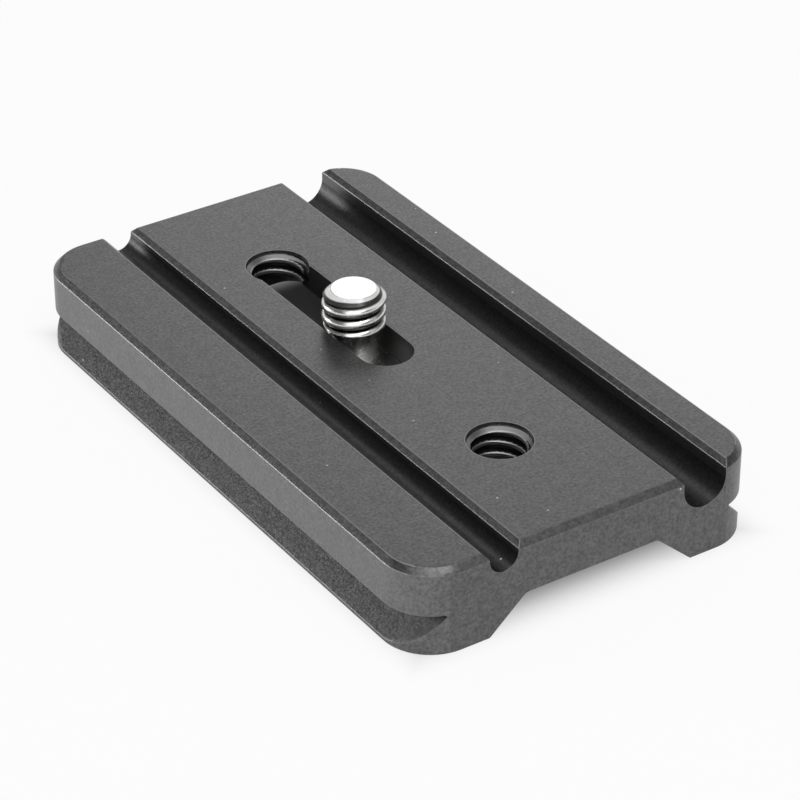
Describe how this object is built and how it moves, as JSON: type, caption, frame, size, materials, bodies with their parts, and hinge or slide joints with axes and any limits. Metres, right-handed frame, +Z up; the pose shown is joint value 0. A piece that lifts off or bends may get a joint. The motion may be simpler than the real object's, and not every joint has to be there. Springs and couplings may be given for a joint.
{
  "type": "tripod quick release plate",
  "caption": "Flat dovetail camera plate with rounded corners, lengthwise top grooves, a keyhole slot with a captive sliding camera screw and a tapped hole.",
  "frame": {"origin": "centre of the plate's footprint, level with the underside of the feet", "axes": "+X across the plate towards the wide groove, +Y along the plate towards the entry hole of the slot, +Z up through the camera screw"},
  "size_m": [0.0384, 0.0686, 0.0132],
  "materials": {
    "anodised_aluminium": "bead-blasted, dark grey anodised, satin",
    "bright_steel": "bright plated"
  },
  "bodies": {
    "plate": {"plate": "anodised_aluminium"},
    "camera_screw": {"camera_screw": "bright_steel"}
  },
  "joints": [
    {"name": "screw_slide", "type": "slide", "parent": "plate", "child": "camera_screw", "axis": [0, 1, 0], "range_m": [-0.0059, 0.0139]}
  ]
}
